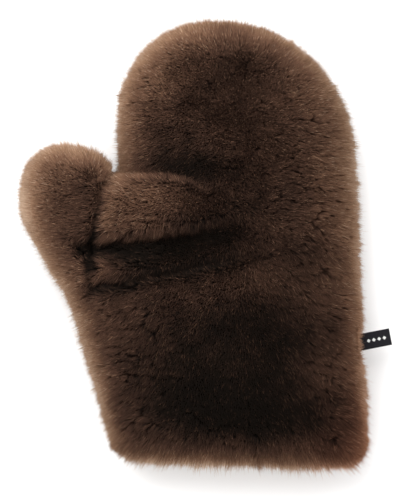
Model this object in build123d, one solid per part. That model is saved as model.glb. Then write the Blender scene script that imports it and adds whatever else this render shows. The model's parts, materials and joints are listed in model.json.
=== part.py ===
from build123d import *
import math
import os

# Sheepskin wash mitt, lying on its back: +Y to the fingertips, thumb at -X, palm up (+Z). Millimetres.
# The origin is the middle of the bounding box, on the surface that the mitt rests on.

# outline of the whole mitt, pile included, as corners with a radius at each
sideBottom = (99.5, -160)
fingerRight = (84, 135.3)
fingerLeft = (-52, 135.3)
crotch = (-52, 43)
thumbInner = (-63.5, 58)
thumbTip = (-106, 66.5)
thumbOuter = (-108.9, 22)
thumbHeel = (-82, -32)
heelBottom = (-44, -160)
fingerRightRadius = 78
fingerLeftRadius = 55
crotchRadius = 3
thumbInnerRadius = 25
thumbTipRadius = 24
thumbOuterRadius = 30
thumbHeelRadius = 80

# section
mittThickness = 50
midHeight = mittThickness / 2
edgeRound = 18
pileDepthAtRim = 14
hideHeight = 16
hideRound = 6
hideThickness = 1.2
cavityRound = 5

# hem line of the cuff, through this point, falling to the right
hemPoint = (20, -132.4)
hemTilt = 3.4
farAway = 400
sliver = 0.01

# thumb root seam, and the room that the thumb needs to fold
rootTop = (-51.3, 43.5)
rootBottom = (-77.1, -44.7)
foldToPalm = 45
foldToBack = 10
foldSpare = 3
bodyGap = 0.3
notchAboveCrotch = 13
crotchSlotWidth = 5
rootRunOut = 30
cutOverrun = 5
crotchLineLean = 4
crotchLineRise = 30
thumbLineRise = 60

# side label, a strip folded double with its ends in the side seam
labelSeam = (81, -59.2)
labelTilt = 11
labelLength = 30
labelWidth = 10
labelThickness = 1.2
leafThickness = 0.4
labelSeamGap = 0.5
labelSwing = 25
labelNotchSpare = 3
labelNotchSide = 1
labelNotchDepth = 40

# thread and cuff tape
threadWidth = 0.8
threadGap = 0.02
seamStitchLength = 4
seamStitchPitch = 6
rootStitchLength = 3
rootStitchPitch = 5
rootStitchSetback = 7
rootStitchStart = 26
rootStitchCount = 9
tapeThickness = 0.8
tapeWidth = 15
tapeHemSetback = 4
tapeRound = 4.2
cuffStitchLength = 4
cuffStitchPitch = 7
cuffStitchSpan = 84
cuffStitchCentre = 18
cuffStitchInset = 3


def mittOutline():
    """Closed outline that runs on past the hem, so that the cuff can be cut open."""
    fingers = [(fingerRight, fingerRightRadius), (fingerLeft, fingerLeftRadius), (crotch, crotchRadius)]
    thumb = [(thumbInner, thumbInnerRadius), (thumbTip, thumbTipRadius), (thumbOuter, thumbOuterRadius)]
    bends = fingers + thumb + [(thumbHeel, thumbHeelRadius)]
    corners = [sideBottom] + [corner for corner, radius in bends] + [heelBottom]
    sides = FilletPolyline(*corners, radius=[radius for corner, radius in bends])
    return make_face(Wire(sides.edges() + [Line(heelBottom, sideBottom)]))


def pillow(inset, height, roundness):
    """The mitt's shape, drawn in by an inset, with soft top and bottom edges and a flat cuff end."""
    face = mittOutline()
    if inset:
        face = offset(face, amount=-inset, kind=Kind.ARC)
        face = face.faces().sort_by(Axis.Z)[-1]
        flatEnd = face.bounding_box().min.Y + 10 * sliver
        tail = Pos(0, flatEnd - farAway / 2) * Rectangle(farAway, farAway)
        face = (face - tail).faces()[0]
    block = extrude(face, height)
    block = Pos(0, 0, midHeight - height / 2) * block
    lowest = block.bounding_box().min.Y
    rims = [e for e in block.edges() if abs(e.center().Z - midHeight) > height / 2 - sliver]
    rims = [e for e in rims if e.center().Y > lowest + sliver]
    return fillet(rims, roundness)


def hemCutter(setback=0):
    """Everything below the hem line, or below a line set back from it into the mitt."""
    block = Box(farAway, farAway, farAway, align=(Align.CENTER, Align.MAX, Align.CENTER))
    return Pos(hemPoint[0], hemPoint[1]) * Rot(0, 0, -hemTilt) * Pos(0, setback) * block


def rootPlane():
    """Plane across the root seam: X points from hand to thumb, Y up, at the seam's lower run-out."""
    run = (Vector(*rootTop) - Vector(*rootBottom)).normalized()
    start = Vector(*rootBottom) - run * rootRunOut
    origin = Vector(start.X, start.Y, midHeight)
    return Plane(origin=origin, x_dir=Vector(-run.Y, run.X, 0), z_dir=run)


def rootGap():
    """Wedge that keeps thumb and hand apart over the whole fold, with a slot in the crotch above it."""
    reach = midHeight + cutOverrun
    palmSpread = reach * math.tan(math.radians((foldToPalm + foldSpare) / 2))
    backSpread = reach * math.tan(math.radians((foldToBack + foldSpare) / 2))
    plane = rootPlane()
    section = Polyline(
        (bodyGap, 0),
        (bodyGap + palmSpread, reach),
        (-bodyGap - palmSpread, reach),
        (-bodyGap, 0),
        (-bodyGap - backSpread, -reach),
        (bodyGap + backSpread, -reach),
        close=True,
    )
    crotchAt = (Vector(*rootTop) - Vector(*rootBottom)).length + rootRunOut
    wedge = extrude(plane * make_face(section), crotchAt + notchAboveCrotch)
    slotSection = Pos(crotchSlotWidth / 2 - bodyGap, 0) * Rectangle(crotchSlotWidth, 2 * reach)
    slot = extrude(plane.offset(crotchAt - 1) * slotSection, notchAboveCrotch + 1)
    return wedge + slot


def thumbSide():
    """Plan region of the thumb: left of the root seam, then up through the open crotch."""
    run = (Vector(*rootBottom) - Vector(*rootTop)).normalized()
    foot = Vector(*rootTop) + run * (farAway / 2)
    region = Polyline(
        (foot.X, foot.Y),
        rootTop,
        (rootTop[0] - crotchLineLean, rootTop[1] + crotchLineRise),
        (-farAway, rootTop[1] + thumbLineRise),
        (-farAway, foot.Y),
        close=True,
    )
    return extrude(make_face(region), mittThickness * 2)


def labelPlace():
    """Label frame: X out from the seam, Z up, origin on the seam at mid-height."""
    return Pos(labelSeam[0], labelSeam[1], midHeight) * Rot(0, 0, labelTilt)


def labelNotch():
    """Wedge in the side pile that the label flips in."""
    near = labelThickness / 2 + bodyGap
    far = near + labelNotchDepth * math.tan(math.radians(labelSwing + labelNotchSpare))
    section = Polyline((0, -near), (labelNotchDepth, -far), (labelNotchDepth, far), (0, near), close=True)
    width = labelWidth + 2 * labelNotchSide
    wedge = extrude(Plane.XZ * make_face(section), width / 2, both=True)
    return labelPlace() * wedge


def sideLabel():
    """Strip folded double, with a round fold at its outer end."""
    outer = Pos(labelSeamGap + labelLength / 2, 0) * RectangleRounded(
        labelLength, labelThickness, labelThickness / 2 - sliver
    )
    gap = labelThickness - 2 * leafThickness
    slot = Pos(labelSeamGap + labelLength / 2 - leafThickness, 0) * SlotOverall(labelLength, gap)
    opening = Pos(labelSeamGap, 0) * Rectangle(labelThickness * 2, gap)
    strip = outer - slot - opening
    body = extrude(Plane.XZ * strip, labelWidth / 2, both=True)
    return labelPlace() * body


def halves(shape):
    """Palm side and back side of a shape."""
    top = Pos(0, 0, midHeight + farAway / 2) * Box(farAway, farAway, farAway)
    bottom = Pos(0, 0, midHeight - farAway / 2) * Box(farAway, farAway, farAway)
    return shape & top, shape & bottom


def seamPath():
    """Line that the edge seam runs on, just inside the cavity."""
    inset = pileDepthAtRim + hideThickness + threadWidth / 2 + threadGap
    face = offset(mittOutline(), amount=-inset, kind=Kind.ARC)
    return face.faces()[0].outer_wire()


def seamStitches(onThumb):
    """Upright stitches across the edge seam, on the hand or on the thumb."""
    path = seamPath()
    count = int(path.length / seamStitchPitch)
    thread = Cylinder(threadWidth / 2, seamStitchLength)
    region = thumbSide()
    gap = rootGap()
    hem = hemCutter(tapeHemSetback + tapeWidth + threadWidth)
    stitches = []
    for n in range(count):
        stitch = Pos(path @ (n / count)) * Pos(0, 0, midHeight) * thread
        centre = stitch.center()
        inThumb = region.is_inside(centre)
        if inThumb != onThumb or hem.is_inside(centre):
            continue
        if (stitch & gap) and (stitch & gap).volume > 0:
            continue
        stitches.append(stitch)
    return Compound(stitches)


def rootStitches():
    """Stitches along the thumb root, under the hand's hides."""
    top = Vector(*rootTop)
    run = (Vector(*rootBottom) - top).normalized()
    side = Vector(-run.Y, run.X)
    turn = math.degrees(math.atan2(run.Y, run.X))
    thread = Rot(0, 90, 0) * Cylinder(threadWidth / 2, rootStitchLength)
    reach = hideHeight / 2 - hideThickness - threadWidth / 2 - threadGap
    stitches = []
    for n in range(rootStitchCount):
        along = rootStitchStart + n * rootStitchPitch
        spot = top + run * along + side * rootStitchSetback
        for level in (midHeight - reach, midHeight + reach):
            stitches.append(Pos(spot.X, spot.Y, level) * Rot(0, 0, turn) * thread)
    return Compound(stitches)


def cuffTape():
    """Ring of tape inside the mouth of the cuff."""
    outer = pillow(pileDepthAtRim + hideThickness, hideHeight - 2 * hideThickness, cavityRound)
    inner = pillow(
        pileDepthAtRim + hideThickness + tapeThickness,
        hideHeight - 2 * hideThickness - 2 * tapeThickness,
        tapeRound,
    )
    ring = outer - inner
    ring = ring - hemCutter(tapeHemSetback)
    return ring & hemCutter(tapeHemSetback + tapeWidth)


def cuffStitches():
    """One row of stitches on the tape on the palm side and one on the back side."""
    thread = Rot(0, 90, 0) * Cylinder(threadWidth / 2, cuffStitchLength)
    reach = hideHeight / 2 - hideThickness - tapeThickness - threadWidth / 2 - threadGap
    count = int(cuffStitchSpan / cuffStitchPitch)
    rowHeight = hemPoint[1] + tapeHemSetback + tapeWidth - cuffStitchInset
    middle = Pos(cuffStitchCentre, rowHeight) * Rot(0, 0, -hemTilt)
    stitches = []
    for n in range(count):
        across = (n - (count - 1) / 2) * cuffStitchPitch
        for level in (midHeight - reach, midHeight + reach):
            stitches.append(middle * Pos(across, 0, level) * thread)
    return Compound(stitches)


def mittParts():
    """Every piece by name, before the whole is centred."""
    whole = pillow(0, mittThickness, edgeRound)
    skin = pillow(pileDepthAtRim, hideHeight, hideRound)
    cavity = pillow(pileDepthAtRim + hideThickness, hideHeight - 2 * hideThickness, cavityRound)
    hem = hemCutter()
    pile = whole - skin - hem
    hide = skin - cavity - hem
    region = thumbSide()
    gap = rootGap()
    notch = labelNotch()
    parts = {}
    for name, shape in (("pile", pile), ("hide", hide)):
        hand = shape - region - gap
        if name == "pile":
            hand = hand - notch
        thumb = (shape & region) - gap
        parts["palm_" + name], parts["back_" + name] = halves(hand)
        parts["thumb_palm_" + name], parts["thumb_back_" + name] = halves(thumb)
    parts["hand_seam_stitches"] = seamStitches(False)
    parts["thumb_seam_stitches"] = seamStitches(True)
    parts["thumb_root_stitches"] = rootStitches()
    parts["cuff_tape"] = cuffTape()
    parts["cuff_stitches"] = cuffStitches()
    parts["side_label"] = sideLabel()
    return parts


def centred(parts):
    """Parts moved so that the bounding box stands on Z = 0 with its middle at the origin."""
    box = Compound([p for p in parts.values()]).bounding_box()
    shift = Pos(-(box.min.X + box.max.X) / 2, -(box.min.Y + box.max.Y) / 2, -box.min.Z)
    return {name: shift * p for name, p in parts.items()}, shift


parts, shift = centred(mittParts())
os.makedirs("parts", exist_ok=True)
for name, shape in parts.items():
    export_step(shape, "parts/" + name + ".step")

move = shift.position
rootMiddle = (Vector(*rootTop) + Vector(*rootBottom)) / 2 + move
run = (Vector(*rootTop) - Vector(*rootBottom)).normalized()
labelHinge = Vector(*labelSeam) + move
print("shift", move)
print("thumb hinge at", rootMiddle.X, rootMiddle.Y, midHeight, "axis", run.X, run.Y)
print("label hinge at", labelHinge.X, labelHinge.Y, midHeight, "tilt", labelTilt)
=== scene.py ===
import bmesh
import bpy
import json
import math
import numpy as np
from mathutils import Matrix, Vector, noise


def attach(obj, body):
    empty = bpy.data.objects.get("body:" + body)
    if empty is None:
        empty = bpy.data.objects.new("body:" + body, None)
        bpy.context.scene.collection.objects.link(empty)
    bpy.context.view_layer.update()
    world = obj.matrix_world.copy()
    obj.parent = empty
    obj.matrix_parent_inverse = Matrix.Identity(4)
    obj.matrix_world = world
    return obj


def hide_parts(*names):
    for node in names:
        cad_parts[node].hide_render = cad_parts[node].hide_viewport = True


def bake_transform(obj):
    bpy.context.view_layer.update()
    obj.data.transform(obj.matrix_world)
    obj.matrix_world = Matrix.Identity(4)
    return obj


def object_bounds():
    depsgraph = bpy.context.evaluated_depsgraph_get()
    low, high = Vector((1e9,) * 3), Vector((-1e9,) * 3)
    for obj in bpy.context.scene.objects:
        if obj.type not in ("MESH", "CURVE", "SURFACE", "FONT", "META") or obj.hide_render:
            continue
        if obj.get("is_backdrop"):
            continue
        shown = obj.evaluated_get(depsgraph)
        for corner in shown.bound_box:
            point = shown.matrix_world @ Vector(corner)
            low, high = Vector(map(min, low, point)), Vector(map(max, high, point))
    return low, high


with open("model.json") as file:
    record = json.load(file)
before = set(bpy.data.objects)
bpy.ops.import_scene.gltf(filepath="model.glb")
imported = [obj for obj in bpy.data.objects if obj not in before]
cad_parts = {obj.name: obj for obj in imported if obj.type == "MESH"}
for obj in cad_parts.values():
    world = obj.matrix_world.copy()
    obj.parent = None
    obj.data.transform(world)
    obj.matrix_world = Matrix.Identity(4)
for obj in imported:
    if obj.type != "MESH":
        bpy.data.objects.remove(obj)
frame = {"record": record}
cadLow, cadHigh = (Vector(corner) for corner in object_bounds())
middleX = (cadLow.x + cadHigh.x) / 2
middleY = (cadLow.y + cadHigh.y) / 2
millimetre = 0.001
joints = {joint["name"]: joint for joint in frame["record"]["behaviour"]["joints"]}
thumbHinge = Vector(joints["thumb_fold"]["pos_m"])
thumbAxis = Vector(joints["thumb_fold"]["axis"]).normalized()
labelHinge = Vector(joints["label_flip"]["pos_m"])
labelAxis = Vector(joints["label_flip"]["axis"]).normalized()
seamHeight = thumbHinge.z
up = Vector((0, 0, 1))
# points from the hand to the thumb, square to the thumb's root seam
seamNormal = Vector((-thumbAxis.y, thumbAxis.x, 0)).normalized()
# points out of the side seam along the label
labelRun = labelAxis.cross(up).normalized() * -1
labelSide = up.cross(labelRun)

# Outline of the mitt over the pile, anticlockwise, in mm from the middle of the frame.
mittShape = {
    "corners": [
        (95.6, -131.8), (82.3, 134.9), (-52.6, 134.9), (-52.6, 40.0), (-64.6, 57.8),
        (-108.7, 66.9), (-113.0, 20.5), (-81.8, -31.1), (-54.2, -126.6),
    ],
    "radii": [18, 80, 54, 3, 25, 24, 30, 80, 18],
    "arcSteps": 18, "edgeSteps": 7,
    "sharpest": 0.6,  # least radius that a drawn-in corner keeps
    "hemRight": 1, "hemLeft": 0.3,  # how the sides run on past the hem: an offset, and a share of the run
}
undercoatShape = {"inset": 4.4, "thickness": 40.5, "edgeRound": 16, "voxel": 1.5, "relax": 0.5}
hideShape = {
    "inset": 14, "height": 16, "edgeRound": 6, "thickness": 1.2,
    "hemSetback": 7.5, "pastHem": 30, "pitch": 0.006,
}


def toWorld(x, y):
    return middleX + x * millimetre, middleY + y * millimetre


def fromMiddle(points):
    # Plan positions in mm from the middle of the frame.
    return (points[:, :2] - np.array([middleX, middleY])) / millimetre


def roundedRing(corners, radii, inset, arcSteps):
    # The outline drawn in by inset, every corner an arc of the same number of points.
    points = [Vector(c) for c in corners]
    count = len(points)
    runs = [(points[(i + 1) % count] - points[i]).normalized() for i in range(count)]
    ring = []
    for i in range(count):
        before, after = runs[i - 1], runs[i]
        turn = math.atan2(before.x * after.y - before.y * after.x, before.dot(after))
        inBefore = Vector((-before.y, before.x))
        inAfter = Vector((-after.y, after.x))
        # both offset lines meet at the moved corner
        corner = points[i] + (inBefore + inAfter) * inset / (1 + inBefore.dot(inAfter))
        radius = max(radii[i] - inset, mittShape["sharpest"]) if turn > 0 else radii[i] + inset
        start = corner - before * radius * math.tan(abs(turn) / 2)
        side = 1 if turn > 0 else -1
        centre = start + inBefore * radius * side
        first = math.atan2(start.y - centre.y, start.x - centre.x)
        for step in range(arcSteps + 1):
            angle = first + turn * step / arcSteps
            ring.append((centre.x + radius * math.cos(angle), centre.y + radius * math.sin(angle)))
    return ring


def meshObject(name, verts, faces):
    mesh = bpy.data.meshes.new(name)
    mesh.from_pydata(verts, [], faces)
    obj = bpy.data.objects.new(name, mesh)
    bpy.context.collection.objects.link(obj)
    return obj


def copyOf(source, name):
    obj = bpy.data.objects.new(name, source.data.copy())
    bpy.context.collection.objects.link(obj)
    obj.data.name = name
    return obj


def pillowMesh(name, inset, height, edgeRound, pastHem=0):
    # A closed pillow of the mitt's outline, which may run on past the hem.
    corners = list(mittShape["corners"])
    if pastHem:
        corners[0] = (corners[0][0] + mittShape["hemRight"], corners[0][1] - pastHem)
        corners[-1] = (corners[-1][0] + mittShape["hemLeft"] * pastHem, corners[-1][1] - pastHem)
    levels = []
    for step in range(mittShape["edgeSteps"] + 1):
        angle = math.pi / 2 * step / mittShape["edgeSteps"]
        drawnIn = inset + edgeRound * (1 - math.sin(angle))
        levels.append((drawnIn, height / 2 - edgeRound * (1 - math.cos(angle))))
    # from the top's edge down to the side wall, then mirrored
    levels = levels + [(d, -z) for d, z in reversed(levels)]
    verts, faces = [], []
    size = 0
    for d, z in levels:
        ring = roundedRing(corners, mittShape["radii"], d, mittShape["arcSteps"])
        size = len(ring)
        verts += [(*toWorld(x, y), seamHeight + z * millimetre) for x, y in ring]
    for level in range(len(levels) - 1):
        for i in range(size):
            j = (i + 1) % size
            a, b = level * size, (level + 1) * size
            faces.append((b + i, b + j, a + j, a + i))
    faces.append(tuple(range(size)))
    faces.append(tuple(reversed(range((len(levels) - 1) * size, len(levels) * size))))
    return meshObject(name, verts, faces)


def applied(obj):
    # The object with its modifiers made into plain mesh.
    depsgraph = bpy.context.evaluated_depsgraph_get()
    depsgraph.update()
    mesh = bpy.data.meshes.new_from_object(obj.evaluated_get(depsgraph))
    obj.modifiers.clear()
    old = obj.data
    obj.data = mesh
    mesh.name = obj.name
    bpy.data.meshes.remove(old)
    return obj


def remove(obj):
    mesh = obj.data
    bpy.data.objects.remove(obj)
    bpy.data.meshes.remove(mesh)


def facedOut(obj):
    work = bmesh.new()
    work.from_mesh(obj.data)
    bmesh.ops.recalc_face_normals(work, faces=work.faces[:])
    work.to_mesh(obj.data)
    work.free()
    return obj


def readVectors(items, what):
    values = np.empty(len(items) * 3, np.float32)
    items.foreach_get(what, values)
    return values.reshape(-1, 3).astype(float)


def setCoordinates(mesh, points):
    mesh.vertices.foreach_set("co", points.astype(np.float32).ravel())
    mesh.update()


def cutBy(obj, cutter):
    cut = obj.modifiers.new("cut", "BOOLEAN")
    cut.operation = "DIFFERENCE"
    cut.solver = "EXACT"
    cut.object = cutter
    return applied(obj)


def halfOf(source, name, planePoint, planeNormal, closed=True):
    # The part of a mesh on the normal's side of a plane, closed again where the plane cut it.
    obj = copyOf(source, name)
    work = bmesh.new()
    work.from_mesh(obj.data)
    everything = work.verts[:] + work.edges[:] + work.faces[:]
    cut = bmesh.ops.bisect_plane(
        work, geom=everything, plane_co=planePoint, plane_no=planeNormal, clear_inner=True,
    )
    if closed:
        rim = [item for item in cut["geom_cut"] if isinstance(item, bmesh.types.BMEdge)]
        bmesh.ops.triangle_fill(work, edges=rim, use_beauty=True, normal=-Vector(planeNormal))
    work.to_mesh(obj.data)
    work.free()
    return obj


def smoothStep(low, high, x):
    t = np.clip((x - low) / (high - low), 0, 1)
    return t * t * (3 - 2 * t)


def noiseField(points, size, seed):
    # Smooth noise from -1 to 1, with features of that size in metres.
    shift = Vector((seed * 3.7, seed * 1.3, seed * 2.9))
    return np.array([noise.noise(Vector(p) / size + shift) for p in points])


def noiseSum(points, layers):
    # Several noises, each given as its size, seed and amount.
    return sum(amount * noiseField(points, size, seed) for size, seed, amount in layers)


def pathDistance(points, path):
    # Distance in mm from a path given in mm, how far along it each point is, and on which side: left is +1.
    flat = fromMiddle(points)
    path = np.array(path, float)
    lengths = np.linalg.norm(np.diff(path, axis=0), axis=1)
    starts = np.concatenate([[0], np.cumsum(lengths)])
    best = np.full(len(flat), 1e9)
    along = np.zeros(len(flat))
    side = np.zeros(len(flat))
    for i in range(len(path) - 1):
        run = path[i + 1] - path[i]
        t = np.clip(((flat - path[i]) @ run) / (run @ run), 0, 1)
        off = flat - path[i] - t[:, None] * run
        far = np.linalg.norm(off, axis=1)
        nearer = far < best
        best = np.where(nearer, far, best)
        along = np.where(nearer, (starts[i] + t * lengths[i]) / starts[-1], along)
        side = np.where(nearer, np.sign(run[0] * off[:, 1] - run[1] * off[:, 0]), side)
    return best, along, side


def patchField(points, patches):
    # Sum of soft oval patches: place, half sizes and turn in plan, and amount.
    flat = fromMiddle(points)
    total = np.zeros(len(flat))
    for x, y, sizeX, sizeY, turn, amount in patches.values():
        angle = math.radians(turn)
        offX, offY = flat[:, 0] - x, flat[:, 1] - y
        across = (offX * math.cos(angle) + offY * math.sin(angle)) / sizeX
        upward = (offY * math.cos(angle) - offX * math.sin(angle)) / sizeY
        total += amount * np.exp(-(across ** 2) - upward ** 2)
    return total


def addNode(tree, kind, **settings):
    item = tree.nodes.new(kind)
    for key, value in settings.items():
        setattr(item, key, value)
    return item


def feed(tree, socket, value):
    if isinstance(value, bpy.types.NodeSocket):
        tree.links.new(value, socket)
    elif value is not None:
        socket.default_value = value


def calc(tree, operation, a, b=None, c=None):
    item = addNode(tree, "ShaderNodeMath", operation=operation)
    for socket, value in zip(item.inputs, (a, b, c)):
        feed(tree, socket, value)
    return item.outputs[0]


def vectorCalc(tree, operation, a, b=None):
    item = addNode(tree, "ShaderNodeVectorMath", operation=operation)
    feed(tree, item.inputs[0], a)
    feed(tree, item.inputs["Scale"] if operation == "SCALE" else item.inputs[1], b)
    return item.outputs["Vector"]


def wired(tree, kind, inputs, output=0, **settings):
    # A node with its inputs fed, which gives one of its outputs.
    item = addNode(tree, kind, **settings)
    for name, value in inputs.items():
        feed(tree, item.inputs[name], value)
    return item.outputs[output]


def named(tree, name, kind="FLOAT"):
    return wired(tree, "GeometryNodeInputNamedAttribute", {"Name": name}, "Attribute", data_type=kind)


def stored(tree, geometry, name, value, kind="FLOAT", domain="POINT"):
    inputs = {"Geometry": geometry, "Name": name, "Value": value}
    kinds = {"data_type": kind, "domain": domain}
    return wired(tree, "GeometryNodeStoreNamedAttribute", inputs, "Geometry", **kinds)


def split(tree, vector):
    item = addNode(tree, "ShaderNodeSeparateXYZ")
    feed(tree, item.inputs[0], vector)
    return item.outputs


def joined(tree, x, y, z):
    return wired(tree, "ShaderNodeCombineXYZ", {"X": x, "Y": y, "Z": z})


# Folds of the palm, in mm from the middle: path, height, width, and how much is left at the far end.
palmFolds = {
    "hump": {"path": [(-50, 25), (-30, 25), (-10, 21), (8, 15)], "height": 5.0, "width": 13, "end": 0.1},
    "lowRidge": {"path": [(-67, -11), (-48, -11), (-20, -8)], "height": 3.0, "width": 4.0, "end": 0.3},
    "lowerCrease": {
        "path": [(-68, -23), (-50, -19), (-34, -16), (-15, -12.5), (14, -6), (40, 2)],
        "height": -9.0, "width": 3.2, "end": 0.15,
    },
    "crotchPinch": {"path": [(-53, 44), (-57, 36)], "height": -4, "width": 3, "end": 0.6},
    "triangle": {"path": [(-73, 3), (-70, -3)], "height": -4.5, "width": 7, "end": 1},
    "cuffDip": {"path": [(10, -90), (45, -98)], "height": -2.5, "width": 28, "end": 1},
}
# Edges where one side lies over the other. The high side is to the right of the path.
palmEdges = {
    "humpTop": {
        "path": [(-53, 40), (-42, 41.5), (-26, 41.5), (-12, 39), (-2, 33.5), (5, 26)],
        "high": 1.3, "highReach": 20, "low": -4.6, "lowReach": 9, "edge": 2.8, "end": 0.0,
    },
    "humpBottom": {
        "path": [(28, 23), (10, 18.5), (-12, 14), (-38, 10.5), (-65, 7.5)],
        "high": 2.0, "highReach": 8, "low": -8.5, "lowReach": 12, "edge": 2.4, "start": 0.0,
    },
    "rootFold": {
        "path": [(-67.5, -13), (-66.2, 2.4), (-63.8, 18), (-59.8, 32), (-52.4, 43)],
        "high": 1.8, "highReach": 8, "low": -5.4, "lowReach": 5, "edge": 0.9, "start": 0.5,
    },
}
foldFade = {"power": 1.5, "endFrom": 0.6, "startTo": 0.45}  # how folds and edges die away along their paths


def palmRelief(points):
    # Height of the folds over the plain palm, in mm.
    relief = np.zeros(len(points))
    for fold in palmFolds.values():
        far, along, side = pathDistance(points, fold["path"])
        height = fold["height"] * (1 - (1 - fold["end"]) * along ** foldFade["power"])
        relief += height * np.exp(-((far / fold["width"]) ** 2))
    for edge in palmEdges.values():
        far, along, side = pathDistance(points, edge["path"])
        lowSide = smoothStep(-edge["edge"], edge["edge"], far * side)
        strength = 1 - (1 - edge.get("end", 1)) * smoothStep(foldFade["endFrom"], 1, along)
        strength *= 1 - (1 - edge.get("start", 1)) * (1 - smoothStep(0, foldFade["startTo"], along))
        step = (1 - lowSide) * edge["high"] * np.exp(-((far / edge["highReach"]) ** 2))
        step += lowSide * edge["low"] * np.exp(-((far / edge["lowReach"]) ** 2))
        relief += strength * step
    return relief


# Heights over the seam where palm and back begin, in m, and swells as size in m, seed and amount in mm.
sculptLook = {
    "palm": (0.003, 0.012), "back": (-0.013, -0.004), "backSwell": 0.5,
    "swells": ((0.045, 1, 1.6), (0.016, 2, 0.9)), "tufts": ((0.006, 3, 0.3),), "rim": ((0.03, 4, 0.8),),
    "restGap": 0.0045,
}


def sculpt(obj):
    # Folds, slow swells and small tufts, and the flat underside that the mitt lies on.
    points = readVectors(obj.data.vertices, "co")
    out = readVectors(obj.data.vertices, "normal")
    high = points[:, 2] - seamHeight
    onPalm = smoothStep(*sculptLook["palm"], high)
    onBack = 1 - smoothStep(*sculptLook["back"], high)
    swell = noiseSum(points, sculptLook["swells"])
    tufts = noiseSum(points, sculptLook["tufts"])
    rim = 1 - np.abs(out[:, 2])
    points[:, 2] += onPalm * (palmRelief(points) + swell) * millimetre
    points[:, 2] += onBack * sculptLook["backSwell"] * swell * millimetre
    points += out * (tufts + rim * noiseSum(points, sculptLook["rim"]))[:, None] * millimetre
    points[:, 2] = np.maximum(points[:, 2], cadLow.z + sculptLook["restGap"])
    setCoordinates(obj.data, points)


def relaxed(obj, turns):
    relax = obj.modifiers.new("relax", "SMOOTH")
    relax.factor = undercoatShape["relax"]
    relax.iterations = turns
    return applied(obj)


print("undercoat: pillow, remesh and folds")
coatSizes = (undercoatShape[name] for name in ("inset", "thickness", "edgeRound"))
wholeCoat = pillowMesh("wholeCoat", *coatSizes)
remesh = wholeCoat.modifiers.new("even", "REMESH")
remesh.mode = "VOXEL"
remesh.voxel_size = undercoatShape["voxel"] * millimetre
applied(wholeCoat)
relaxed(wholeCoat, 5)
sculpt(wholeCoat)
relaxed(wholeCoat, 1)

# The open crotch over the root seam: how far up the seam it starts, and its reach left and up, in m.
crotch = {"along": 0.046, "left": 0.004, "high": 0.06}
crotchTop = thumbHinge + thumbAxis * crotch["along"]


def onThumb(points):
    # Left of the root seam, and left of the open crotch above it.
    rel = points - np.array(thumbHinge)
    across = rel @ np.array(seamNormal)
    pastCrotch = rel @ np.array(thumbAxis) > crotch["along"]
    leftOf = points[:, 0] < crotchTop.x - crotch["left"]
    below = points[:, 1] < crotchTop.y + crotch["high"]
    return np.where(pastCrotch, leftOf & below, across > 0)


# Lengths in m, and tones as steps on the wool's colour ramp from 0 (black-brown) to 1 (tan). The thumb's and
# the palm's reaches are in m, the others in mm. A noise is its size in m, its seed and its amount.
pileLook = {
    "length": 0.0052, "rimLength": 0.0068, "hemLength": 0.0095, "foldShorten": 0.25, "lipShorten": 0.45,
    "lengthNoise": ((0.02, 9, 0.1),), "hemNoise": ((0.009, 14, 0.25),), "rimNoise": ((0.0035, 15, 0.2),),
    "tone": 0.25, "toneNoise": ((0.028, 11, 0.08), (0.009, 12, 0.08)),
    # on the next line: a painted glow of light through the tips near the outline, less at the hem, and
    # painted shade in the creases
    "rimTone": ((0.5, 5.0), (0.45, 17.0)), "rimToneHemLoss": 0.15, "hemTone": 0.5, "creaseTone": -0.34,
    # on the next line: painted shade at the lips of the mouth
    "backTone": 0.12, "lipTone": -0.22, "labelTone": -0.14,
    "clump": 0.42, "clumpMost": 1.3, "clumpLeast": 0.85, "clumpNoise": ((0.02, 13, 0.3),),
    "thumbReach": 0.03, "palmReach": 0.01, "rimSteepness": (0.25, 0.9), "creaseDepth": (2, 8),
    "hemReach": (2, 20), "hemToneReach": (2, 12), "lipReach": (7, 13), "lipToneReach": (6, 9),
}
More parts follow.
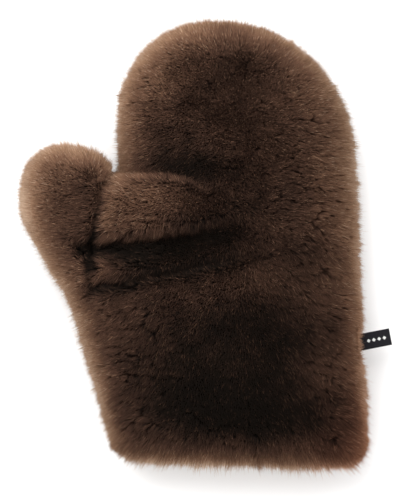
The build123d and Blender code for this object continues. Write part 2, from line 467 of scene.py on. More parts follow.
# Lighter and darker patches of the palm: x, y, half sizes, turn in degrees, amount. Some are painted shade
# in the hollows and above the hump's edge, some painted light on the hump's top and a painted glow along the
# rims;
# the rest make the wool lighter or darker in places.
tonePatches = {
    "fingers": (8, 85, 54, 50, 0, 0.14),
    # painted light on the hump's top
    "hump": (-31, 30, 26, 12, 0, 0.19),
    "humpLow": (-40, 14, 24, 8, 5, 0.17),
    "thumbTip": (-87, 45, 26, 18, 0, 0.05),
    "thumbMiddle": (-84, 18, 18, 16, 0, 0.03),
    # painted shade in the hollow below the hump
    "valley": (-18, 4.5, 42, 8, 10, -0.33),
    # painted shade in the triangle's dip
    "triangle": (-72, 1, 9, 8, 0, -0.2),
    # painted shade just above the hump's top edge
    "aboveHump": (-12, 49, 34, 7, -3, -0.2),
    "besideHump": (36, 34, 26, 9, -14, -0.05),
    "rightSide": (68, 32, 16, 52, 0, 0.12),
    "rightMiddle": (54, -8, 28, 22, 0, 0.12),
    "cuffMiddle": (14, -97, 44, 19, -4, -0.4),
    # painted glow along the lower right rim
    "rightRimLow": (94, -72, 8, 26, 3, 0.25),
    # painted shadow of the hollow, up by the hump's end
    "humpEnd": (-17, 18, 10, 4, 12, -0.16),
    "humpLeft": (-58, 20, 6, 16, -12, 0.2),
    # painted shade on the top rim, where less light falls
    "topRim": (8, 132, 28, 6, 0, -0.25),
    "fingerLeft": (-24, 94, 13, 14, 0, 0.16),
    "palmMiddle": (6, -45, 45, 26, 0, -0.12),
    # painted shade deeper in the hollow below the hump
    "underValley": (-38, -5, 20, 7, 8, -0.16),
    "fingerTop": (26, 108, 26, 22, 0, -0.16),
    "besideValley": (38, 13, 22, 9, 8, 0.16),
    "lowRight": (52, -50, 26, 14, 0, -0.1),
    "hemLeft": (10, -124, 70, 8, 0, 0.1),
    # painted glow along the right and left rims
    "rightRim": (96, -50, 9, 80, 3, 0.26),
    "leftRim": (-67, -75, 9, 50, 14, 0.26),
    "thumbInner": (-68, 38, 11, 13, 0, -0.2),
    # painted glow along the thumb's rim
    "thumbRim": (-107, 22, 11, 28, 0, 0.3),
    "underThumb": (-54, -22, 20, 6, 6, -0.2),
    "rightFold": (58, -4, 18, 18, 0, -0.2),
    "fingerMiddle": (-16, 62, 22, 34, 0, -0.17),
    "belowCrease": (12, -22, 28, 8, 12, 0.16),
    "palmLow": (0, -74, 56, 28, 0, -0.12),
    "ridge": (-58, -12, 11, 4.5, 0, 0.2),
}
rednessPatches = {"rightCorner": (88, -122, 26, 34, 20, 0.8), "rightEdge": (93, -60, 14, 60, 0, 0.3)}
# Lines where little light gets down between two folds: path, reach in mm, and tone at the line.
shadeLines = [
    (palmFolds["lowerCrease"]["path"], 3.6, -0.5),
    (palmEdges["rootFold"]["path"], 2.4, -0.46),
    (palmFolds["crotchPinch"]["path"], 2.5, -0.3),
]
# Where the tips part into tufts with cracks between them, given as the tones are.
clumpPatches = {
    "rightSide": (74, 20, 30, 70, 0, 1.1),
    "leftFinger": (-44, 90, 14, 30, 0, 0.5),
    "humpLow": (-38, 13, 28, 8, 5, 1.15),
    "ridge": (-55, -14, 22, 8, 4, 0.9),
    "heel": (-44, -66, 30, 44, 15, 0.95),
    "cuff": (20, -118, 90, 16, -3, 0.6),
    "rightCuff": (72, -80, 26, 40, 0, 0.6),
}


def hemDistance(flat):
    # How far above the hem line each point lies, in mm.
    right, left = (np.array(corner) for corner in (mittShape["corners"][0], mittShape["corners"][-1]))
    run = (right - left) / np.linalg.norm(right - left)
    return (flat[:, 1] - left[1]) * run[0] - (flat[:, 0] - left[0]) * run[1]


def edgeDistance(points):
    # How far in from the mitt's outline each point lies in plan, in mm.
    ring = roundedRing(mittShape["corners"], mittShape["radii"], 0, mittShape["arcSteps"])
    return pathDistance(points, ring + ring[:1])[0]


def fromSeam(points):
    # Height over or under the side seam, in mm.
    return np.abs(points[:, 2] - seamHeight) / millimetre


labelParting = {"across": (8, 12), "high": (6, 11), "inside": 0.004}


def nearLabel(points):
    # One beside the label, where the tips lean away from it, and nothing elsewhere.
    rel = points - np.array(labelHinge)
    close = 1 - smoothStep(*labelParting["across"], np.abs(rel @ np.array(labelSide)) / millimetre)
    close *= 1 - smoothStep(*labelParting["high"], np.abs(rel[:, 2]) / millimetre)
    return close * (rel @ np.array(labelRun) > -labelParting["inside"])


# Slopes that the tips lie at. They fan out from a middle in mm, and slower over a longer spread.
combLook = {
    "middle": (12, 62), "spread": (66, 240), "down": 0.15, "thumb": (-0.8, 0.1),
    "swirl": 0.4, "swirls": ((0.035, 7), (0.03, 8)), "outward": 0.5,
    "lips": 0.7, "lipsInward": (6, 14), "lipsHigh": (8, 14), "fromLabel": 2.0,
}


def combing(points, out, rim, thumb):
    # The way the tips lie: outwards and down to the cuff, along the thumb, with slow swirls.
    flat = fromMiddle(points)
    middleAcross, middleUp = combLook["middle"]
    spreadAcross, spreadUp = combLook["spread"]
    swirl = np.stack([noiseField(points, size, seed) for size, seed in combLook["swirls"]], axis=1)
    fanAcross = (flat[:, 0] - middleAcross) / spreadAcross
    fanUp = (flat[:, 1] - middleUp) / spreadUp - combLook["down"]
    hand = np.stack([fanAcross, fanUp], axis=1)
    onThumbShare = thumb[:, None]
    lie = hand * (1 - onThumbShare) + np.array(combLook["thumb"]) * onThumbShare + combLook["swirl"] * swirl
    comb = np.concatenate([lie, np.zeros((len(points), 1))], axis=1)
    outward = out.copy()
    outward[:, 2] = 0
    comb += outward * rim[:, None] * combLook["outward"]
    # round the mouth the tips turn over its lips, and beside the label they lean away from it
    awayFromSeam = np.sign(points[:, 2] - seamHeight)
    lips = 1 - smoothStep(*combLook["lipsInward"], hemDistance(flat))
    lips *= 1 - smoothStep(*combLook["lipsHigh"], fromSeam(points))
    comb[:, 2] -= awayFromSeam * lips * combLook["lips"]
    beside = nearLabel(points)
    comb *= 1 - beside[:, None]
    comb[:, 2] += awayFromSeam * beside * combLook["fromLabel"]
    return comb - out * (comb * out).sum(1)[:, None]


def pileLengths(points, rim, hem, creased):
    length = pileLook["length"] * (1 - rim) + pileLook["rimLength"] * rim
    ragged = 1 + noiseSum(points, pileLook["hemNoise"])
    length = length * (1 - hem) + pileLook["hemLength"] * hem * ragged
    length *= (1 + noiseSum(points, pileLook["lengthNoise"])) * (1 - pileLook["foldShorten"] * creased)
    length *= 1 + rim * noiseSum(points, pileLook["rimNoise"])
    # the lips of the mouth are trimmed shorter, so that they leave it open
    lips = hem * (1 - smoothStep(*pileLook["lipReach"], fromSeam(points)))
    return length * (1 - pileLook["lipShorten"] * lips)


def pileTones(points, hem, palm, creased):
    edge = edgeDistance(points)
    tone = pileLook["tone"] + noiseSum(points, pileLook["toneNoise"])
    # a painted glow of light through the tips near the outline, seen side-on
    rimTone = sum(amount * np.exp(-edge / reach) for amount, reach in pileLook["rimTone"])
    tone += rimTone * (1 - pileLook["rimToneHemLoss"] * hem)
    # the patches of tone, painted light and shade among them, and painted shade in the deep creases
    tone += palm * patchField(points, tonePatches) + pileLook["creaseTone"] * creased
    atHem = 1 - smoothStep(*pileLook["hemToneReach"], hemDistance(fromMiddle(points)))
    tone += pileLook["hemTone"] * atHem
    for path, reach, shade in shadeLines:
        far, along, side = pathDistance(points, path)
        tone += palm * shade * np.exp(-((far / reach) ** 2)) * (1 - along ** 3)
    tone += (1 - palm) * pileLook["backTone"]
    # painted shade at the lips of the mouth, for the depth of the opening
    tone += pileLook["lipTone"] * hem * (1 - smoothStep(*pileLook["lipToneReach"], fromSeam(points)))
    # tips that lie over show their pale sides, so they are a step darker
    return tone + pileLook["labelTone"] * nearLabel(points)


def describePile(obj):
    # Writes what the pile does at each point: length, lie, tone, redness and clumping.
    mesh = obj.data
    points = readVectors(mesh.vertices, "co")
    out = readVectors(mesh.vertices, "normal")
    pastRoot = (points - np.array(thumbHinge)) @ np.array(seamNormal)
    thumb = smoothStep(0, pileLook["thumbReach"], pastRoot)
    rim = smoothStep(*pileLook["rimSteepness"], 1 - np.abs(out[:, 2]))
    hem = 1 - smoothStep(*pileLook["hemReach"], hemDistance(fromMiddle(points)))
    palm = smoothStep(0, pileLook["palmReach"], points[:, 2] - seamHeight)
    creased = smoothStep(*pileLook["creaseDepth"], -palmRelief(points)) * palm
    clump = np.clip(pileLook["clump"] + patchField(points, clumpPatches), 0, pileLook["clumpMost"])
    clump *= (pileLook["clumpLeast"] + noiseSum(points, pileLook["clumpNoise"])) * (1 - nearLabel(points))
    values = {
        "pileLength": pileLengths(points, rim, hem, creased),
        "tone": pileTones(points, hem, palm, creased),
        "clump": clump,
        "redness": patchField(points, rednessPatches),
    }
    for name, data in values.items():
        layer = mesh.attributes.get(name) or mesh.attributes.new(name, "FLOAT", "POINT")
        layer.data.foreach_set("value", data.astype(np.float32))
    comb = combing(points, out, rim, thumb)
    layer = mesh.attributes.get("comb") or mesh.attributes.new("comb", "FLOAT_VECTOR", "POINT")
    layer.data.foreach_set("vector", comb.astype(np.float32).ravel())


describePile(wholeCoat)


def newMaterial(name, roughness, specular=0.1):
    material = bpy.data.materials.new(name)
    material.use_nodes = True
    shader = material.node_tree.nodes["Principled BSDF"]
    shader.inputs["Roughness"].default_value = roughness
    shader.inputs["Specular IOR Level"].default_value = specular
    return material, material.node_tree, shader


def mixColour(tree, factor, a, b, how="MIX"):
    item = addNode(tree, "ShaderNodeMix", data_type="RGBA", blend_type=how)
    for socket, value in zip((item.inputs[0], item.inputs[6], item.inputs[7]), (factor, a, b)):
        feed(tree, socket, value)
    return item.outputs[2]


def attribute(tree, name):
    return addNode(tree, "ShaderNodeAttribute", attribute_name=name).outputs["Fac"]


def noiseNode(tree, place, scale, detail=3.0):
    return wired(tree, "ShaderNodeTexNoise", {"Vector": place, "Scale": scale, "Detail": detail}, "Fac")


def objectPlace(tree):
    return addNode(tree, "ShaderNodeTexCoord").outputs["Object"]


def shaderGroup(name, inputs, outputs):
    # An empty shader group with named sockets.
    tree = bpy.data.node_groups.new(name, "ShaderNodeTree")
    for title, kind, value in inputs:
        socket = tree.interface.new_socket(name=title, in_out="INPUT", socket_type="NodeSocket" + kind)
        if value is not None:
            socket.default_value = value
    for title, kind in outputs:
        tree.interface.new_socket(name=title, in_out="OUTPUT", socket_type="NodeSocket" + kind)
    return tree, addNode(tree, "NodeGroupInput").outputs, addNode(tree, "NodeGroupOutput").inputs


def useGroup(tree, group, **values):
    item = addNode(tree, "ShaderNodeGroup", node_tree=group)
    for name, value in values.items():
        feed(tree, item.inputs[name], value)
    return item.outputs


def bumped(tree, shader, height, strength, distance):
    bump = wired(tree, "ShaderNodeBump", {"Strength": strength, "Distance": distance, "Height": height})
    feed(tree, shader.inputs["Normal"], bump)


woolColours = {
    "ramp": [
        (0.0, (0.012, 0.0085, 0.0062, 1)),
        (0.25, (0.078, 0.040, 0.027, 1)),
        (0.5, (0.19, 0.100, 0.062, 1)),
        (0.75, (0.38, 0.225, 0.138, 1)),
        (1.0, (0.70, 0.50, 0.36, 1)),
    ],
    "single": 0.26, "rootDark": 0.3, "paleShare": 0.025, "paleTone": 0.42,
    "redShare": 0.55, "redder": (1.25, 0.82, 0.72, 1),
}


def woolColourGroup():
    # Wool colour from its tone, with painted shade towards the root, a little different in each lock, and a
    # painted glint on a few.
    starts = {"Tone": 0.3, "Height": 1.0, "Single": 0.5, "Redness": 0.0}
    inputs = [(name, "Float", value) for name, value in starts.items()]
    tree, given, result = shaderGroup("woolColour", inputs, [("Color", "Color")])
    own = calc(tree, "MULTIPLY_ADD", given["Single"], woolColours["single"], -0.5 * woolColours["single"])
    # painted shade down the lock towards its root
    depth = calc(tree, "MULTIPLY_ADD", given["Height"], woolColours["rootDark"], -woolColours["rootDark"])
    tone = calc(tree, "ADD", given["Tone"], calc(tree, "ADD", own, depth))
    # one lock in forty gets a painted glint, lighter towards its tip, as if it caught the light
    pale = calc(tree, "GREATER_THAN", given["Single"], 1 - woolColours["paleShare"])
    pale = calc(tree, "MULTIPLY", pale, given["Height"])
    tone = calc(tree, "MULTIPLY_ADD", pale, woolColours["paleTone"], tone)
    ramp = addNode(tree, "ShaderNodeValToRGB")
    stops = ramp.color_ramp.elements
    for place, colour in woolColours["ramp"][1:-1]:
        stops.new(place)
    for stop, (place, colour) in zip(stops, woolColours["ramp"]):
        stop.position = place
        stop.color = colour
    feed(tree, ramp.inputs[0], tone)
    share = calc(tree, "MULTIPLY", given["Redness"], woolColours["redShare"])
    redder = mixColour(tree, 1.0, ramp.outputs[0], woolColours["redder"], "MULTIPLY")
    feed(tree, result["Color"], mixColour(tree, share, ramp.outputs[0], redder))
    return tree


herringboneRun = 6.0  # threads before the slant turns back


def wovenGroup():
    # Threads over and under each other; Slant shifts each column on, which turns the rows to herringbone.
    inputs = [("Vector", "Vector", None), ("Pitch", "Float", 0.001), ("Slant", "Float", 0.0)]
    tree, given, result = shaderGroup("wovenThreads", inputs, [("Height", "Float"), ("Over", "Float")])
    place = split(tree, given["Vector"])
    u = calc(tree, "DIVIDE", place[0], given["Pitch"])
    zigzag = calc(tree, "MULTIPLY", calc(tree, "PINGPONG", u, herringboneRun), given["Slant"])
    v = calc(tree, "ADD", calc(tree, "DIVIDE", place[1], given["Pitch"]), zigzag)
    waveU = calc(tree, "SINE", calc(tree, "MULTIPLY", u, math.pi))
    waveV = calc(tree, "SINE", calc(tree, "MULTIPLY", v, math.pi))
    over = calc(tree, "GREATER_THAN", calc(tree, "MULTIPLY", waveU, waveV), 0.0)
    warp = calc(tree, "MULTIPLY", calc(tree, "ABSOLUTE", waveU), over)
    weft = calc(tree, "MULTIPLY", calc(tree, "ABSOLUTE", waveV), calc(tree, "SUBTRACT", 1.0, over))
    feed(tree, result["Height"], calc(tree, "ADD", warp, weft))
    feed(tree, result["Over"], over)
    return tree


woolColour = woolColourGroup()
wovenThreads = wovenGroup()


def pileMaterial():
    material, tree, shader = newMaterial("sheepskinPile", 0.85, specular=0.06)
    wool = useGroup(
        tree, woolColour,
        Tone=attribute(tree, "tone"), Height=attribute(tree, "along"),
        Single=attribute(tree, "lockTone"), Redness=attribute(tree, "redness"),
    )
    feed(tree, shader.inputs["Base Color"], wool["Color"])
    return material


# the undercoat takes a lock's colour a quarter up from the root, with its painted root shade, as shade down
# between the tufts
coatLook = {"height": 0.25, "clouds": 900, "bump": (0.7, 0.0008)}


def undercoatMaterial():
    material, tree, shader = newMaterial("undercoat", 0.95, specular=0.03)
    clouds = noiseNode(tree, objectPlace(tree), coatLook["clouds"], 4)
    # a lock's colour low down, darkened by the painted root shade
    wool = useGroup(
        tree, woolColour,
        Tone=attribute(tree, "tone"), Height=coatLook["height"],
        Single=clouds, Redness=attribute(tree, "redness"),
    )
    feed(tree, shader.inputs["Base Color"], wool["Color"])
    bumped(tree, shader, clouds, *coatLook["bump"])
    return material


suedeLook = {
    "patches": 60, "dark": (0.34, 0.22, 0.14, 1), "light": (0.52, 0.37, 0.25, 1),
    "nap": 1600, "napColour": (0.26, 0.16, 0.1, 1), "napShare": 0.4, "bump": (0.5, 0.0004),
}


def suedeMaterial():
    material, tree, shader = newMaterial("suedeHide", 0.9, specular=0.08)
    place = objectPlace(tree)
    patches = noiseNode(tree, place, suedeLook["patches"])
    nap = noiseNode(tree, place, suedeLook["nap"], 4)
    colour = mixColour(tree, patches, suedeLook["dark"], suedeLook["light"])
    share = calc(tree, "MULTIPLY", nap, suedeLook["napShare"])
    feed(tree, shader.inputs["Base Color"], mixColour(tree, share, colour, suedeLook["napColour"]))
    bumped(tree, shader, nap, *suedeLook["bump"])
    return material


tapeLook = {
    "pitch": 0.0009, "under": (0.05, 0.029, 0.02, 1), "over": (0.085, 0.052, 0.038, 1),
    "worn": 220, "wornColour": (0.04, 0.024, 0.018, 1), "wornShare": 0.5, "bump": (0.8, 0.0003),
}


def tapeMaterial():
    material, tree, shader = newMaterial("cuffTapeCloth", 0.85)
    place = objectPlace(tree)
    cloth = useGroup(tree, wovenThreads, Vector=place, Pitch=tapeLook["pitch"], Slant=1.0)
    worn = noiseNode(tree, place, tapeLook["worn"])
    colour = mixColour(tree, cloth["Over"], tapeLook["under"], tapeLook["over"])
    share = calc(tree, "MULTIPLY", worn, tapeLook["wornShare"])
    feed(tree, shader.inputs["Base Color"], mixColour(tree, share, colour, tapeLook["wornColour"]))
    bumped(tree, shader, cloth["Height"], *tapeLook["bump"])
    return material


threadLook = {
    "twist": {"Scale": 420, "Distortion": 1.5}, "bump": (0.6, 0.0002),
    "dark": (0.075, 0.042, 0.028, 1), "light": (0.19, 0.12, 0.08, 1),
}


def threadMaterial():
    material, tree, shader = newMaterial("sewingThread", 0.7, specular=0.25)
    inputs = {"Vector": objectPlace(tree), **threadLook["twist"]}
    bands = {"wave_type": "BANDS", "bands_direction": "DIAGONAL"}
    twist = wired(tree, "ShaderNodeTexWave", inputs, "Fac", **bands)
    feed(tree, shader.inputs["Base Color"], mixColour(tree, twist, threadLook["dark"], threadLook["light"]))
    bumped(tree, shader, twist, *threadLook["bump"])
    return material


pileCloth = pileMaterial()
coatCloth = undercoatMaterial()
hideCloth = suedeMaterial()
tapeCloth = tapeMaterial()
threadCloth = threadMaterial()


lockLook = {
    "sides": 3, "widthSpread": 0.3, "lengthSpread": 0.34, "longShare": 0.6,
    "lean": 0.40, "bend": 0.36, "bendPower": 2.0, "sink": 0.3,
    "clumpSize": 0.0040, "clumpStretch": 0.65, "clumpPower": 1.3, "tuftSway": 0.006,
    "breakSize": 0.0055, "breakFrom": 0.32, "breakGain": 3.0, "breakMost": 1.15,
    "wispSize": 0.0013, "wispPull": 0.25, "wispPower": 1.2, "frizz": 0.0006, "frizzSize": 0.0016,
    "strayTilt": 0.2, "strayPower": 12.0, "strayLength": 0.6,
    "floorGap": 0.0003, "floorSpread": 0.001, "cellFill": 0.8,
}
# what is added to a piece's seed for each thing drawn at random
lockSeeds = {"tone": 3, "length": 5, "width": 7, "stray": 9, "tilt": 11}


def geometryTree(name, inputs):
    tree = bpy.data.node_groups.new(name, "GeometryNodeTree")
    face = tree.interface
    for title, kind in {"Geometry": "Geometry", **inputs}.items():
        face.new_socket(name=title, in_out="INPUT", socket_type="NodeSocket" + kind)
    face.new_socket(name="Geometry", in_out="OUTPUT", socket_type="NodeSocketGeometry")
    return tree, addNode(tree, "NodeGroupInput").outputs


def dressed(tree, geometry, material):
    # Ends a tree with smooth faces in their material.
    smooth = wired(tree, "GeometryNodeSetShadeSmooth", {"Geometry": geometry})
    done = wired(tree, "GeometryNodeSetMaterial", {"Geometry": smooth, "Material": material})
    feed(tree, addNode(tree, "NodeGroupOutput").inputs[0], done)


def pileTree():
    inputs = {
        "Density": "Float", "Width": "Float", "Clump Pull": "Float",
        "Columns": "Int", "Seed": "Int", "Wool": "Material",
    }
    tree, given = geometryTree("pileLocks", inputs)

    def seedFor(what):
        return calc(tree, "ADD", given["Seed"], float(lockSeeds[what]))

    def randomFloat(low, high, what):
        ends = {2: low, 3: high, "Seed": seedFor(what)}
        return wired(tree, "FunctionNodeRandomValue", ends, 1, data_type="FLOAT")

    def times(a, b):
        return calc(tree, "MULTIPLY", a, b)

    def scaled(vector, amount):
        return vectorCalc(tree, "SCALE", vector, amount)

    def vector(name):
        return named(tree, name, "FLOAT_VECTOR")

    here = addNode(tree, "GeometryNodeInputPosition").outputs[0]
    scatter = addNode(tree, "GeometryNodeDistributePointsOnFaces", distribute_method="RANDOM")
    for socket, title in (("Mesh", "Geometry"), ("Density", "Density"), ("Seed", "Seed")):
        feed(tree, scatter.inputs[socket], given[title])
    points = stored(tree, scatter.outputs["Points"], "rootNormal", scatter.outputs["Normal"], "FLOAT_VECTOR")
    points = stored(tree, points, "rootAt", here, "FLOAT_VECTOR")
    points = stored(tree, points, "lockTone", randomFloat(0, 1, "tone"))
    shorter = 1 - lockLook["lengthSpread"]
    grow = randomFloat(shorter, 1 + lockLook["lengthSpread"] * lockLook["longShare"], "length")
    # a few locks stand out of the rest
    stray = calc(tree, "POWER", randomFloat(0, 1, "stray"), lockLook["strayPower"])
    grow = calc(tree, "ADD", grow, times(stray, lockLook["strayLength"]))
    points = stored(tree, points, "lockLength", times(named(tree, "pileLength"), grow))

    # one lock: a slender three-sided spike
    sizes = {
        "Vertices": lockLook["sides"], "Side Segments": 1,
        "Radius Top": 0, "Radius Bottom": 1, "Depth": 1,
    }
    spikeAt = split(tree, here)
    spike = stored(tree, wired(tree, "GeometryNodeMeshCone", sizes, "Mesh"), "along", spikeAt["Z"])
    spike = stored(tree, spike, "across", calc(tree, "MULTIPLY_ADD", spikeAt["X"], 0.5, 0.5))

    # stand it along the normal, leaning to the comb
    most = lockLook["strayTilt"]
    ends = {0: [-most] * 3, 1: [most] * 3, "Seed": seedFor("tilt")}
    tilt = wired(tree, "FunctionNodeRandomValue", ends, data_type="FLOAT_VECTOR")
    upright = vectorCalc(tree, "ADD", vector("rootNormal"), scaled(vector("comb"), lockLook["lean"]))
    lean = vectorCalc(tree, "ADD", upright, tilt)
    spread = lockLook["widthSpread"]
    wide = times(given["Width"], randomFloat(1 - spread, 1 + spread, "width"))
    locks = wired(tree, "GeometryNodeInstanceOnPoints", {
        "Points": points,
        "Instance": spike,
        "Rotation": wired(tree, "FunctionNodeAlignRotationToVector", {"Vector": lean}, axis="Z"),
        "Scale": joined(tree, wide, wide, named(tree, "lockLength")),
    })
    number = addNode(tree, "GeometryNodeInputIndex").outputs[0]
    locks = stored(tree, locks, "lockNumber", number, "FLOAT", "INSTANCE")
    real = wired(tree, "GeometryNodeRealizeInstances", {0: locks})

    # bend to the comb, gather into clumps and wisps, and frizz
    along = named(tree, "along")
    root = vector("rootAt")
    bend = times(named(tree, "lockLength"), lockLook["bend"])
    bend = times(bend, calc(tree, "POWER", along, lockLook["bendPower"]))
    sink = scaled(vector("rootNormal"), times(bend, -lockLook["sink"]))
    offset = vectorCalc(tree, "ADD", scaled(vector("comb"), bend), sink)

    def gather(cell, pull, power, seedAt, sway=0):
        # pulls towards the middle of a Voronoi cell of the root's place, and sways the whole cell one way
        cells = addNode(tree, "ShaderNodeTexVoronoi", voronoi_dimensions="3D", feature="F1")
        feed(tree, cells.inputs["Scale"], 1)
        feed(tree, cells.inputs["Vector"], scaled(seedAt, 1 / cell))
        towards = vectorCalc(tree, "SUBTRACT", scaled(cells.outputs["Position"], cell), seedAt)
        if sway:
            own = vectorCalc(tree, "SUBTRACT", cells.outputs["Color"], (0.5, 0.5, 0.5))
            towards = vectorCalc(tree, "ADD", towards, scaled(own, sway))
        return scaled(towards, times(calc(tree, "POWER", along, power), pull))

    def rootNoise(size, output):
        noiseInputs = {"Vector": scaled(root, 1 / size), "Scale": 1}
        return wired(tree, "ShaderNodeTexNoise", noiseInputs, output, noise_dimensions="3D")

    broken = calc(tree, "SUBTRACT", rootNoise(lockLook["breakSize"], "Fac"), lockLook["breakFrom"])
    broken = calc(tree, "MAXIMUM", times(broken, lockLook["breakGain"]), 0.0)
    broken = calc(tree, "MINIMUM", broken, lockLook["breakMost"])
    clumpPull = times(times(given["Clump Pull"], broken), named(tree, "clump"))
    # cells drawn out across the mitt, as the cracks run
    drawnOut = vectorCalc(tree, "MULTIPLY", root, (lockLook["clumpStretch"], 1.0, 1.0))
    clumps = gather(lockLook["clumpSize"], clumpPull, lockLook["clumpPower"], drawnOut, lockLook["tuftSway"])
    wisps = gather(lockLook["wispSize"], lockLook["wispPull"], lockLook["wispPower"], root)
    centred = vectorCalc(tree, "SUBTRACT", rootNoise(lockLook["frizzSize"], "Color"), (0.5, 0.5, 0.5))
    frizz = scaled(centred, times(along, lockLook["frizz"] * 2))
    for more in (clumps, wisps, frizz):
        offset = vectorCalc(tree, "ADD", offset, more)
    shaped = wired(tree, "GeometryNodeSetPosition", {"Geometry": real, "Offset": offset})

    # nothing goes through what the mitt rests on
    at = split(tree, here)
    drawn = named(tree, "lockTone")
    lowest = calc(tree, "MULTIPLY_ADD", drawn, lockLook["floorSpread"], lockLook["floorGap"])
    above = joined(tree, at["X"], at["Y"], calc(tree, "MAXIMUM", at["Z"], lowest))
    rested = wired(tree, "GeometryNodeSetPosition", {"Geometry": shaped, "Position": above})

    # each lock gets its own small cell of the texture
    fill = lockLook["cellFill"]
    number = calc(tree, "ROUND", named(tree, "lockNumber"))
    columns = given["Columns"]
    column = calc(tree, "MODULO", number, columns)
    row = calc(tree, "FLOOR", calc(tree, "DIVIDE", number, columns))

    def cellShare(cell, share):
        inCell = calc(tree, "MULTIPLY_ADD", share, fill, (1 - fill) / 2)
        return calc(tree, "DIVIDE", calc(tree, "ADD", cell, inCell), columns)

    cellAt = joined(tree, cellShare(column, named(tree, "across")), cellShare(row, along), 0.0)
    mapped = stored(tree, rested, "OFBake", cellAt, "FLOAT2", "CORNER")
    dressed(tree, mapped, given["Wool"])
    return tree


lockTree = pileTree()


def setInputs(modifier, **values):
    # Modifier inputs go by socket identifier.
    items = modifier.node_group.interface.items_tree
    sockets = {item.name.replace(" ", ""): item.identifier for item in items if item.in_out == "INPUT"}
    for name, value in values.items():
        modifier[sockets[name]] = value


def facePart(source, name, keep):
    # The faces of the source that keep marks, as an open surface to grow pile from.
    obj = copyOf(source, name)
    work = bmesh.new()
    work.from_mesh(obj.data)
    gone = [face for face, kept in zip(work.faces, keep) if not kept]
    bmesh.ops.delete(work, geom=gone, context="FACES")
    work.to_mesh(obj.data)
    work.free()
    return obj


spareCells = 1.02  # cells of texture for each lock asked for, because the scatter gives a few more
workingLayers = ("rootNormal", "rootAt", "comb", "pileLength", "clump", "lockLength", "lockNumber", "across")


def growPile(source, plan, seed):
    area = sum(face.area for face in source.data.polygons)
    count, width = plan["locks"], plan["width"]
    modifier = source.modifiers.new("locks", "NODES")
    modifier.node_group = lockTree
    columns = math.ceil(math.sqrt(count * spareCells))
    setInputs(
        modifier, Density=count / area, Width=width, ClumpPull=plan["pull"],
        Columns=columns, Seed=seed, Wool=pileCloth,
    )
    applied(source)
    for name in workingLayers:
        layer = source.data.attributes.get(name)
        if layer:
            source.data.attributes.remove(layer)
    return source


# The cuff's soft mouth, in mm: how far in from the hem it reaches, where its middle and its ends lie, the
# share of the height that its lips close by, and waves along it as size, run and turn.
mouthShape = {
    "reach": (8, 75), "middle": 20, "ends": (36, 62), "close": 0.22, "endsClose": 0.45,
    "closeWaves": ((0.10, 21, 1.2), (0.05, 8.5, 0)), "ripples": ((1.1, 33, 0.4), (0.4, 12, 0)),
    "halfWidth": 60, "depth": 16, "edge": 0.6,
}


def waves(x, kinds):
    return sum(size * np.sin(x / run + turn) for size, run, turn in kinds)


def softMouth(points):
    # The cuff's lips settle towards each other and ripple a little; further in the space keeps its height.
    flat = fromMiddle(points)
    across = flat[:, 0]
    near = 1 - smoothStep(*mouthShape["reach"], hemDistance(flat))
    ends = smoothStep(*mouthShape["ends"], np.abs(across - mouthShape["middle"]))
    close = mouthShape["close"] + waves(across, mouthShape["closeWaves"]) + mouthShape["endsClose"] * ends
    ripple = near * waves(across, mouthShape["ripples"]) * millimetre
    settled = points.copy()
    settled[:, 2] = seamHeight + (points[:, 2] - seamHeight) * (1 - near * close) + ripple
    return settled


def insideMouth(centres):
    # The patch of the hem end that the hand goes in by.
    def lipHeight(side):
        lip = centres.copy()
        lip[:, 2] = seamHeight + side * hideShape["height"] / 2 * millimetre
        return softMouth(lip)[:, 2] - side * mouthShape["edge"] * millimetre

    flat = fromMiddle(centres)
    between = (centres[:, 2] < lipHeight(1)) & (centres[:, 2] > lipHeight(-1))
    atMouth = np.abs(flat[:, 0] - mouthShape["middle"]) < mouthShape["halfWidth"]
    return between & (hemDistance(flat) < mouthShape["depth"]) & atMouth


# in m, and the spread as a slope
labelNotch = {
    "halfWidth": 0.0062, "nearGap": 0.0010, "spread": math.tan(math.radians(29.5)),
    "depth": 0.04, "inside": 0.002,
}


def besideLabel(centres):
    # The wedge in the side pile that the label flips in.
    rel = centres - np.array(labelHinge)
    out = rel @ np.array(labelRun)
    across = np.abs(rel @ np.array(labelSide))
    within = labelNotch["nearGap"] + np.maximum(out, 0) * labelNotch["spread"]
    return (out > -labelNotch["inside"]) & (across < labelNotch["halfWidth"]) & (np.abs(rel[:, 2]) < within)


print("pile: locks grown on the undercoat")
centres = readVectors(wholeCoat.data.polygons, "center")
thumbFaces = onThumb(centres)
grows = ~insideMouth(centres) & ~besideLabel(centres)
palmFaces = centres[:, 2] > seamHeight

pilePlan = {
    "palm": {"bands": 6, "locks": 46000, "width": 0.00023, "pull": 0.62},
    "back": {"bands": 3, "locks": 38000, "width": 0.00030, "pull": 0.5},
    "thumbPalm": {"bands": 1, "locks": 34000, "width": 0.00023, "pull": 0.55},
    "thumbBack": {"bands": 1, "locks": 15000, "width": 0.00029, "pull": 0.45},
}
regions = {
    "palm": grows & palmFaces & ~thumbFaces,
    "back": grows & ~palmFaces & ~thumbFaces,
    "thumbPalm": grows & palmFaces & thumbFaces,
    "thumbBack": grows & ~palmFaces & thumbFaces,
}
pilePieces = {}
seed = 10  # each piece of pile takes the next one
for region, plan in pilePlan.items():
    # bands across the region, each with the same number of faces
    inRegion = regions[region]
    bands = plan["bands"]
    order = np.sort(centres[inRegion, 1])
    edges = [order[int((len(order) - 1) * n / bands)] for n in range(bands + 1)]
    edges[-1] += 1
    pilePieces[region] = []
    for n in range(bands):
        band = inRegion & (centres[:, 1] >= edges[n]) & (centres[:, 1] < edges[n + 1])
        seed += 1
        name = region + "Pile" + (str(n + 1) if bands > 1 else "")
        piece = growPile(facePart(wholeCoat, name, band), plan, seed)
        pilePieces[region].append(piece)
        print("  pile", name, len(piece.data.polygons), "faces")


